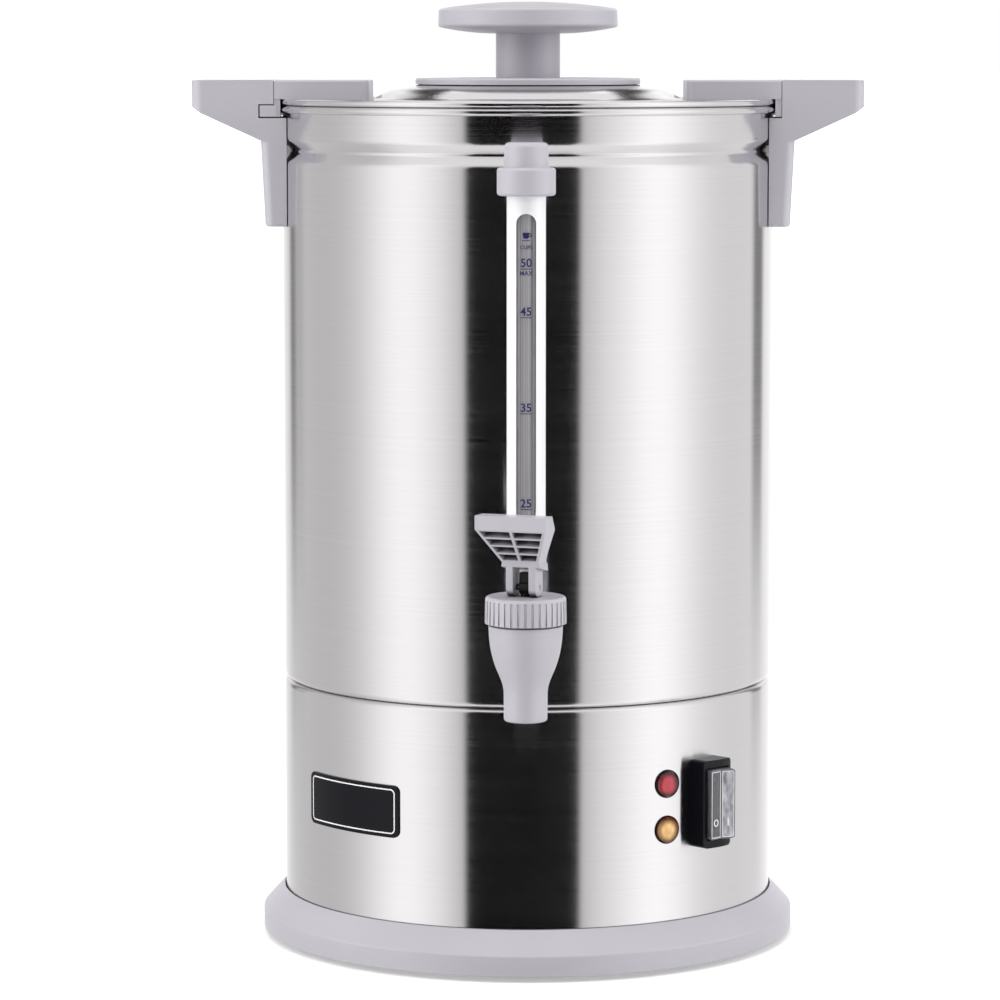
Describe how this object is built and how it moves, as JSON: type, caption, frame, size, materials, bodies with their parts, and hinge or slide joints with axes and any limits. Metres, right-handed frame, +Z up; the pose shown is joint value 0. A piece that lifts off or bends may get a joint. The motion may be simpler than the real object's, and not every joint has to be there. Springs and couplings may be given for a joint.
{
  "type": "coffee urn",
  "caption": "Stainless percolating coffee urn with a twist-lock lid, side handles, gauge glass and a pull-lever tap.",
  "frame": {"origin": "centre of the rubber foot ring, at the level of its sole", "axes": "+Z up along the urn's axis, -Y the front with the tap, +X to the right as seen from the front, through the handles"},
  "size_m": [0.298, 0.3004, 0.4205],
  "materials": {
    "plastic_grey": "satin moulded",
    "steel_brushed": "fine brushed, circumferential",
    "steel_polished": "bright polished",
    "steel_plain": "plain mill finish",
    "steel_zinc": "zinc plated",
    "aluminium_cast": "as cast",
    "guard_white": "gloss moulded",
    "gauge_clear": "clear tube with blue printed marks",
    "silicone": "translucent silicone",
    "rubber_dark": "matt rubber",
    "switch_black": "satin black",
    "switch_clear": "clear flexible cap",
    "stem_black": "black moulded",
    "lens_red": "faceted red lens",
    "lens_amber": "faceted amber lens",
    "plate_black": "gloss black, left bare, with a thin white border",
    "phenolic": "brown thermoset",
    "ceramic_white": "white steatite"
  },
  "bodies": {
    "root": {"base_ring": "plastic_grey", "base_skirt": "steel_brushed", "basket": "steel_plain", "basket_cover": "steel_plain", "boil_element": "steel_plain", "boil_thermostat": "phenolic", "bottom_cover": "steel_zinc", "cord_gland": "switch_black", "foot_ring": "rubber_dark", "gauge_cap": "plastic_grey", "gauge_glass": "gauge_clear", "gauge_guard": "guard_white", "gauge_seals": "silicone", "gland_nut": "switch_black", "handle_brackets": "steel_plain", "handle_left": "plastic_grey", "handle_right": "plastic_grey", "handle_screws": "steel_plain", "heat_plate": "aluminium_cast", "lamp_amber_lens": "lens_amber", "lamp_bezels": "switch_black", "lamp_bodies": "switch_black", "lamp_red_lens": "lens_red", "name_plate": "plate_black", "percolator_stem": "steel_plain", "plate_nuts": "steel_zinc", "shank_nut": "plastic_grey", "shank_washer_inner": "silicone", "shank_washer_outer": "silicone", "strap_screws": "steel_zinc", "switch_housing": "switch_black", "switch_terminals": "steel_zinc", "tank": "steel_brushed", "tank_studs": "steel_plain", "tap_body": "plastic_grey", "tap_bonnet": "plastic_grey", "tap_shank": "plastic_grey", "terminal_block": "ceramic_white", "thermal_fuse": "steel_plain", "thermostat_strap": "steel_zinc", "tie_nuts": "steel_zinc", "valve_spring": "steel_plain", "warm_element": "steel_plain", "warm_thermostat": "phenolic"},
    "lid": {"lid_dome": "steel_polished", "lid_lip": "steel_plain", "lid_flange": "plastic_grey", "lid_knob": "plastic_grey", "knob_screw": "steel_plain", "lid_ear_left": "plastic_grey", "lid_ear_right": "plastic_grey", "ear_rivets": "steel_plain"},
    "valve": {"valve_stem": "stem_black", "seat_cup": "silicone", "lever_pin": "steel_plain"},
    "lever": {"tap_lever": "plastic_grey"},
    "rocker": {"switch_rocker": "switch_black", "switch_boot": "switch_clear"},
    "washer": {"pump_washer": "steel_plain"}
  },
  "joints": [
    {"name": "lid_twist", "type": "hinge", "parent": "root", "child": "lid", "pos_m": [0, 0, 0.3746], "axis": [0, 0, 1], "range_deg": [0, 150]},
    {"name": "tap_stem_lift", "type": "slide", "parent": "root", "child": "valve", "axis": [0, 0, 1], "range_m": [0, 0.0019], "deforming": ["valve_spring"]},
    {"name": "tap_lever_pull", "type": "hinge", "parent": "valve", "child": "lever", "pos_m": [0, -0.157, 0.1765], "axis": [0.9397, -0.342, 0], "range_deg": [0, 40], "stiffness_Nm_per_rad": 0.1, "springref_deg": -45.84},
    {"name": "switch_rock", "type": "hinge", "parent": "root", "child": "rocker", "pos_m": [0.08337, -0.08337, 0.0722], "axis": [0, 0, 1], "range_deg": [0, 28]},
    {"name": "pump_washer_lift", "type": "slide", "parent": "root", "child": "washer", "axis": [0, 0, 1], "range_m": [0, 0.002]}
  ],
  "couplings": [
    {"joint": "tap_stem_lift", "follows": "tap_lever_pull", "m_per_rad": 0.0026}
  ]
}
